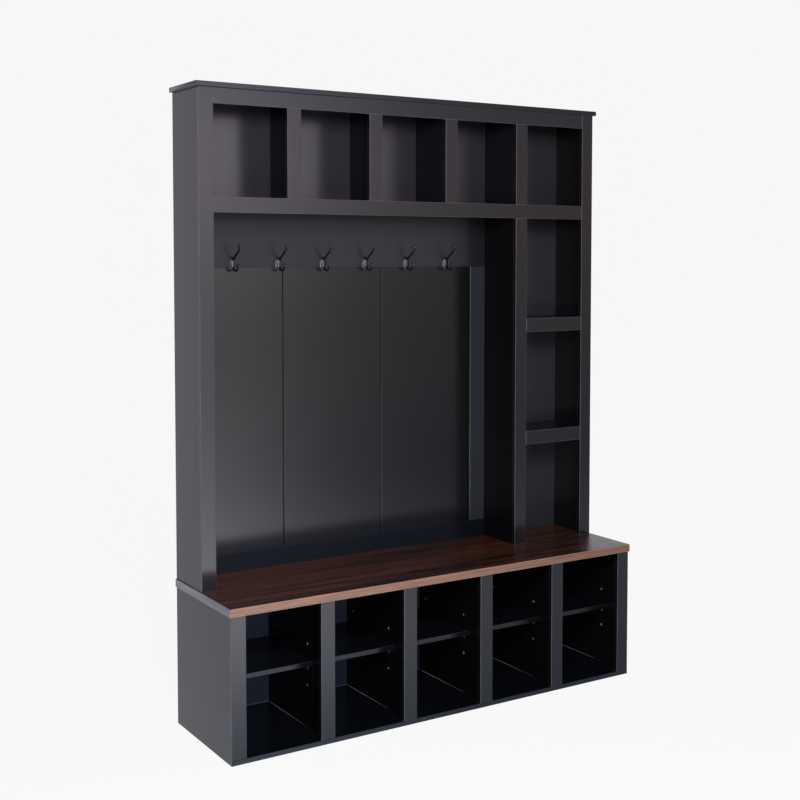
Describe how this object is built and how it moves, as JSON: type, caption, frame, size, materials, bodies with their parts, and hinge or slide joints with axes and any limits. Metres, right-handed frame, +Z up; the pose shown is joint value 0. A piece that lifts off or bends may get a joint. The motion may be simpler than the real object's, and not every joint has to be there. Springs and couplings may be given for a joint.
{
  "type": "hall stand with bench",
  "caption": "Tall hall stand: open bays with lift-out shelves under a bench, a coat back of V-jointed boards with double hooks, an open side column and cubbies on top.",
  "frame": {"origin": "on the floor, under the middle of the stand's whole box", "axes": "+Z up, +X to the right seen from the front, +Y towards the wall behind"},
  "size_m": [1.52, 0.404, 1.962],
  "materials": {
    "carcase_laminate": "dark charcoal melamine-faced board, satin, fine upright grain",
    "frame_laminate": "dark charcoal melamine-faced board, satin, fine upright grain",
    "back_laminate": "dark charcoal melamine-faced board, satin",
    "bench_walnut": "dark walnut grain on the top, lighter red-brown edge band",
    "hook_metal": "glossy black",
    "support_steel": "zinc plated"
  },
  "bodies": {
    "stand": {"base_left_side": "carcase_laminate", "base_right_side": "carcase_laminate", "base_divider_1": "carcase_laminate", "base_divider_2": "carcase_laminate", "base_divider_3": "carcase_laminate", "base_divider_4": "carcase_laminate", "base_bottom": "carcase_laminate", "base_back_panel": "carcase_laminate", "hutch_left_side": "carcase_laminate", "hutch_right_side": "carcase_laminate", "crown_board": "carcase_laminate", "cubby_floor": "carcase_laminate", "cubby_divider_1": "carcase_laminate", "cubby_divider_2": "carcase_laminate", "cubby_divider_3": "carcase_laminate", "cubby_divider_4": "carcase_laminate", "column_divider": "carcase_laminate", "column_shelf_1": "carcase_laminate", "column_shelf_2": "carcase_laminate", "base_stile_1": "frame_laminate", "base_stile_2": "frame_laminate", "base_stile_3": "frame_laminate", "base_stile_4": "frame_laminate", "base_stile_5": "frame_laminate", "base_stile_6": "frame_laminate", "left_stile": "frame_laminate", "right_stile": "frame_laminate", "top_rail": "frame_laminate", "cubby_rail": "frame_laminate", "column_stile": "frame_laminate", "column_rail_1": "frame_laminate", "column_rail_2": "frame_laminate", "cubby_stile_1": "frame_laminate", "cubby_stile_2": "frame_laminate", "cubby_stile_3": "frame_laminate", "cubby_stile_4": "frame_laminate", "upper_back_panel": "back_laminate", "column_back_panel": "back_laminate", "hook_rail": "back_laminate", "lower_back_rail": "back_laminate", "back_board_1": "back_laminate", "back_board_2": "back_laminate", "back_board_3": "back_laminate", "back_board_4": "back_laminate", "coat_hook_1": "hook_metal", "coat_hook_2": "hook_metal", "coat_hook_3": "hook_metal", "coat_hook_4": "hook_metal", "coat_hook_5": "hook_metal", "coat_hook_6": "hook_metal", "bench_top": "bench_walnut", "shelf_supports": "support_steel"},
    "shelf_1": {"adjustable_shelf_1": "carcase_laminate"},
    "shelf_2": {"adjustable_shelf_2": "carcase_laminate"},
    "shelf_3": {"adjustable_shelf_3": "carcase_laminate"},
    "shelf_4": {"adjustable_shelf_4": "carcase_laminate"},
    "shelf_5": {"adjustable_shelf_5": "carcase_laminate"}
  },
  "joints": [
    {"name": "shelf_1_lift", "type": "slide", "parent": "stand", "child": "shelf_1", "axis": [0, 0, 1], "range_m": [0, 0.199]},
    {"name": "shelf_2_lift", "type": "slide", "parent": "stand", "child": "shelf_2", "axis": [0, 0, 1], "range_m": [0, 0.199]},
    {"name": "shelf_3_lift", "type": "slide", "parent": "stand", "child": "shelf_3", "axis": [0, 0, 1], "range_m": [0, 0.199]},
    {"name": "shelf_4_lift", "type": "slide", "parent": "stand", "child": "shelf_4", "axis": [0, 0, 1], "range_m": [0, 0.199]},
    {"name": "shelf_5_lift", "type": "slide", "parent": "stand", "child": "shelf_5", "axis": [0, 0, 1], "range_m": [0, 0.199]}
  ]
}
